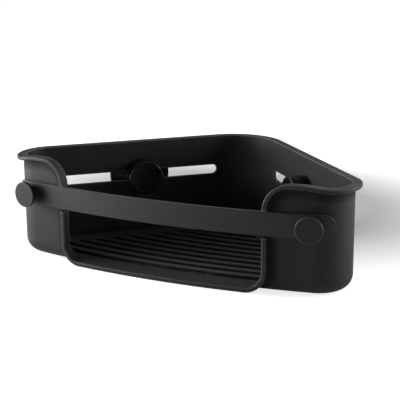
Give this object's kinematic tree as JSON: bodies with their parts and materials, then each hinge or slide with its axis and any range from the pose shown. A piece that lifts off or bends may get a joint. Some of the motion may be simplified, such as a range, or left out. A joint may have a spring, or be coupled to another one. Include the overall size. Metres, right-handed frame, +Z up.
{
  "type": "corner shower caddy",
  "caption": "Quarter-corner shower caddy: bow-front tray with framed front opening, retaining strap on posts and sliding suction mounts with lock knobs.",
  "frame": {"origin": "on the underside, at the middle of the rim's width and depth", "axes": "+X along the front to the right as seen from the front, +Y towards the corner of the room, +Z up"},
  "size_m": [0.3308, 0.2074, 0.0942],
  "materials": {
    "shell_plastic": "charcoal, fine matt moulded grain",
    "strap_elastomer": "charcoal, smooth matt elastomer",
    "post_plastic": "charcoal, satin moulded",
    "knob_plastic": "charcoal, satin moulded",
    "housing_plastic": "charcoal, satin moulded",
    "pad_elastomer": "dark grey tacky gel",
    "steel": "plain stainless steel",
    "brass": "machined"
  },
  "bodies": {
    "bin": {"bin_body": "shell_plastic", "front_strap": "strap_elastomer", "left_strap_post": "post_plastic", "right_strap_post": "post_plastic", "post_washers": "steel", "post_screws": "steel"},
    "left_mount": {"left_suction_pad": "pad_elastomer", "left_cup_housing": "housing_plastic", "left_slide_bush": "housing_plastic", "left_mount_stud": "steel", "left_lock_washer": "steel"},
    "left_knob": {"left_lock_knob": "knob_plastic", "left_knob_insert": "brass", "left_knob_cap": "knob_plastic"},
    "right_mount": {"right_suction_pad": "pad_elastomer", "right_cup_housing": "housing_plastic", "right_slide_bush": "housing_plastic", "right_mount_stud": "steel", "right_lock_washer": "steel"},
    "right_knob": {"right_lock_knob": "knob_plastic", "right_knob_insert": "brass", "right_knob_cap": "knob_plastic"}
  },
  "joints": [
    {"name": "left_mount_slide", "type": "slide", "parent": "bin", "child": "left_mount", "axis": [-0.7071, -0.7071, 0], "range_m": [-0.065, 0.07]},
    {"name": "left_knob_turn", "type": "hinge", "parent": "left_mount", "child": "left_knob", "pos_m": [-0.09454, 0.03586, 0.0575], "axis": [0.7071, -0.7071, 0], "range_deg": [0, 360]},
    {"name": "right_mount_slide", "type": "slide", "parent": "bin", "child": "right_mount", "axis": [0.7071, -0.7071, 0], "range_m": [-0.065, 0.07]},
    {"name": "right_knob_turn", "type": "hinge", "parent": "right_mount", "child": "right_knob", "pos_m": [0.09454, 0.03586, 0.0575], "axis": [-0.7071, -0.7071, 0], "range_deg": [0, 360]}
  ]
}
